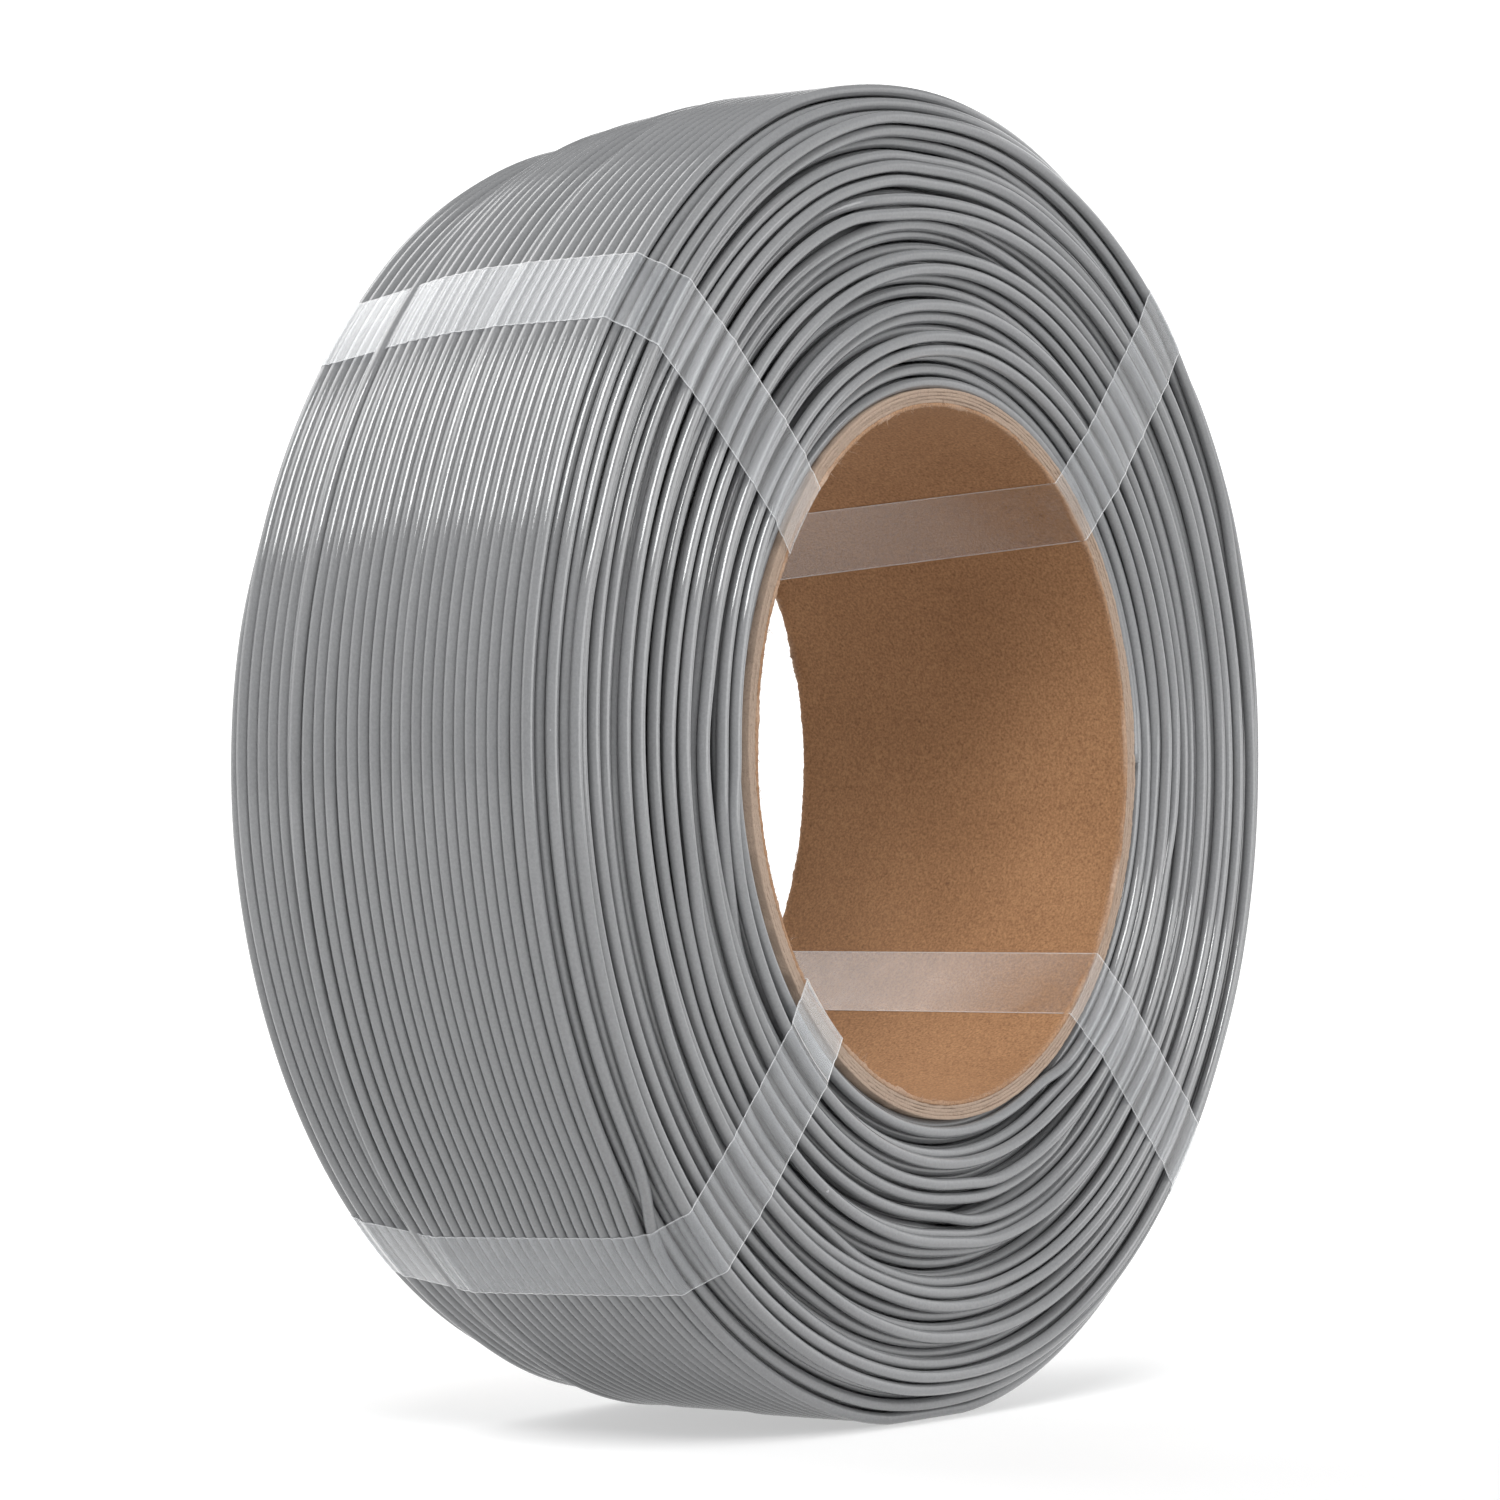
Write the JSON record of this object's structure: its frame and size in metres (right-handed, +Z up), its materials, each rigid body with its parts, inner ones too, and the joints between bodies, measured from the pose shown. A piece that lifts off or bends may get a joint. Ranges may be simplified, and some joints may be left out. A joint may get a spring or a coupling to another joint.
{
  "type": "filament refill coil",
  "caption": "Flangeless coil of plastic filament for a 3D printer, wound on a short cardboard core and held by clear tape loops.",
  "frame": {"origin": "centre of the core's bore", "axes": "+Y along the coil's axis, from the front face to the back face; +Z up, with the coil standing on its edge"},
  "size_m": [0.1906, 0.0624, 0.19],
  "materials": {
    "core_liner": "brown kraft liner, matt, fine fibres and flecks",
    "core_board": "lighter kraft board, matt, rough torn edge",
    "filament": "mid grey, satin, smooth drawn strand",
    "tape": "clear glossy film with a milky sheen"
  },
  "bodies": {
    "root": {"core_inner_liner": "core_liner", "core_ply_2": "core_board", "core_ply_3": "core_board", "core_ply_4": "core_board", "core_outer_ply": "core_board", "winding_layer_01": "filament", "winding_layer_02": "filament", "winding_layer_03": "filament", "winding_layer_04": "filament", "winding_layer_05": "filament", "winding_layer_06": "filament", "winding_layer_07": "filament", "winding_layer_08": "filament", "winding_layer_09": "filament", "winding_layer_10": "filament", "winding_layer_11": "filament", "winding_layer_12": "filament", "winding_layer_13": "filament", "winding_layer_14": "filament", "winding_layer_15": "filament", "winding_layer_16": "filament", "winding_layer_17": "filament", "winding_layer_18": "filament", "winding_layer_19": "filament", "winding_layer_20": "filament", "winding_layer_21": "filament", "winding_layer_22": "filament", "winding_layer_23": "filament", "front_edge_turns": "filament", "back_edge_turns": "filament", "tape_upper_back": "tape", "tape_upper_front": "tape", "tape_lower_front": "tape", "tape_lower_back": "tape"}
  },
  "joints": []
}
